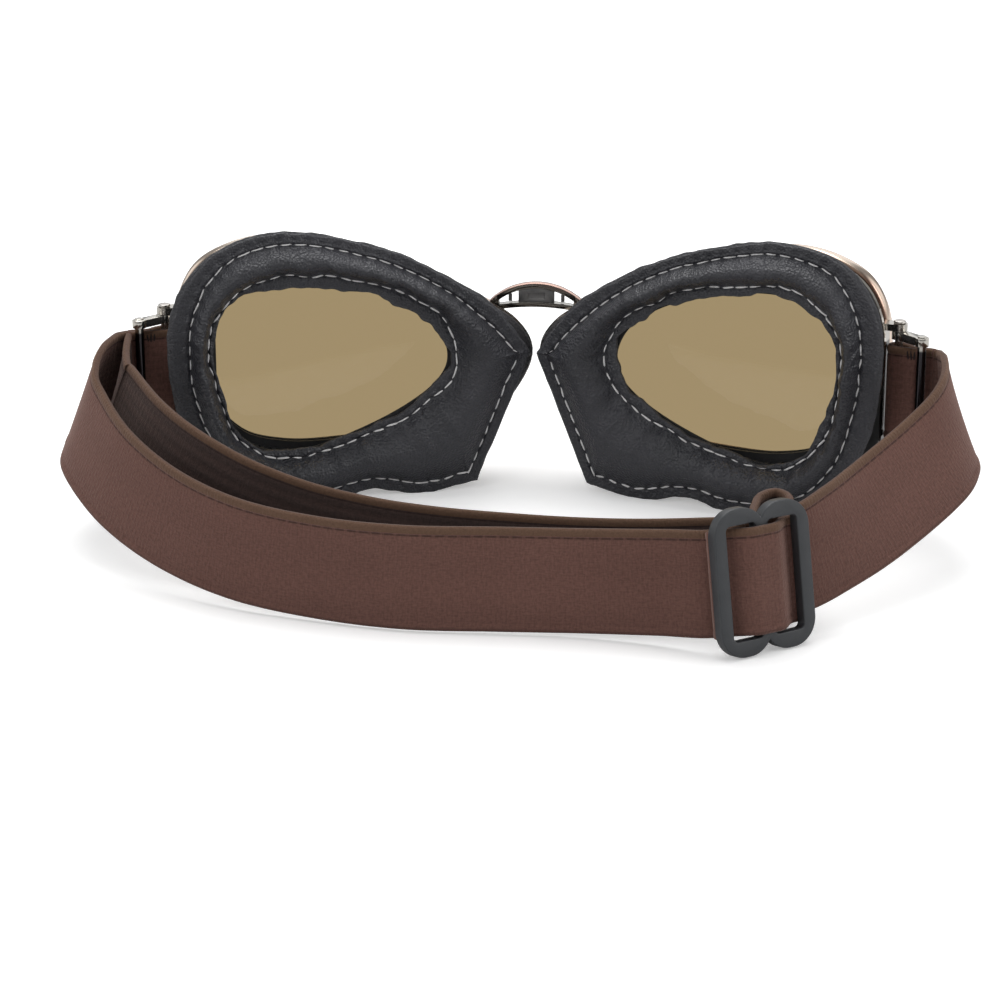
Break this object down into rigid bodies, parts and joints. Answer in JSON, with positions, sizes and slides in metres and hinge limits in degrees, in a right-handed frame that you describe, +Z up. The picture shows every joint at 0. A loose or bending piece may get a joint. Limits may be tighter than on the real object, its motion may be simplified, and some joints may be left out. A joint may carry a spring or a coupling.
{
  "type": "riding goggles",
  "caption": "Padded riding goggles with two teardrop eyecups on a hinged bridge, smoke-amber lenses and an elastic head strap with a three-bar slider.",
  "frame": {"origin": "on the standing surface, under the middle of the whole object's box", "axes": "+X to the wearer's right, +Y the way the lenses look, +Z up"},
  "size_m": [0.2379, 0.1503, 0.075],
  "materials": {
    "cup_shell": "satin black moulding, strap bracket plated dark chrome",
    "bezel_metal": "pressed aluminium, polished rose copper plate",
    "rail_metal": "polished",
    "bridge_metal": "dark nickel with copper-coloured edges",
    "block_metal": "dark nickel, satin",
    "lug_metal": "dark chrome",
    "pin_steel": "brushed",
    "lens": "clear polycarbonate, amber smoke tint, polished",
    "gasket_rubber": "matte",
    "pad_leather": "semi-gloss black, fine grain, light grey stitching",
    "side_leather": "black, fine grain",
    "pad_foam": "open foam",
    "lining_board": "black felted board",
    "strap_webbing": "ribbed elastic, dark brown",
    "inner_webbing": "ribbed elastic, near black",
    "slider_plastic": "moulded, satin"
  },
  "bodies": {
    "root": {"bridge_frame": "bridge_metal", "bridge_block": "block_metal", "bridge_ribs": "block_metal", "strap_outer": "strap_webbing", "strap_inner": "inner_webbing"},
    "left_cup": {"left_eyecup": "cup_shell", "left_bezel": "bezel_metal", "left_lens": "lens", "left_lens_gasket": "gasket_rubber", "left_rear_rail": "rail_metal", "left_pad_cover": "pad_leather", "left_pad_foam": "pad_foam", "left_pad_lining": "lining_board", "left_pad_side": "side_leather", "left_bridge_post": "pin_steel", "left_strap_pin": "pin_steel", "left_strap_end": "strap_webbing"},
    "right_cup": {"right_eyecup": "cup_shell", "right_bezel": "bezel_metal", "right_lens": "lens", "right_lens_gasket": "gasket_rubber", "right_rear_rail": "rail_metal", "right_pad_cover": "pad_leather", "right_pad_foam": "pad_foam", "right_pad_lining": "lining_board", "right_pad_side": "side_leather", "right_bridge_post": "pin_steel", "right_strap_pin": "pin_steel", "right_strap_end": "strap_webbing"},
    "left_lug": {"left_strap_lug": "lug_metal"},
    "right_lug": {"right_strap_lug": "lug_metal"},
    "slider": {"slider": "slider_plastic", "slider_weave": "strap_webbing", "slider_loop": "inner_webbing"}
  },
  "joints": [
    {"name": "left_cup_hinge", "type": "hinge", "parent": "root", "child": "left_cup", "pos_m": [-0.0118, 0.06504, 0.0492], "axis": [0, 0, -1], "range_deg": [0, 12]},
    {"name": "right_cup_hinge", "type": "hinge", "parent": "root", "child": "right_cup", "pos_m": [0.0118, 0.06504, 0.0492], "axis": [0, 0, 1], "range_deg": [0, 12]},
    {"name": "left_lug_hinge", "type": "hinge", "parent": "left_cup", "child": "left_lug", "pos_m": [-0.09746, 0.03638, 0.0345], "axis": [0, 0, 1], "range_deg": [0, 35]},
    {"name": "right_lug_hinge", "type": "hinge", "parent": "right_cup", "child": "right_lug", "pos_m": [0.09746, 0.03638, 0.0345], "axis": [0, 0, -1], "range_deg": [0, 35]},
    {"name": "slider_slide", "type": "slide", "parent": "root", "child": "slider", "axis": [0.809, 0.5878, 0], "range_m": [-0.005, 0.005]}
  ]
}
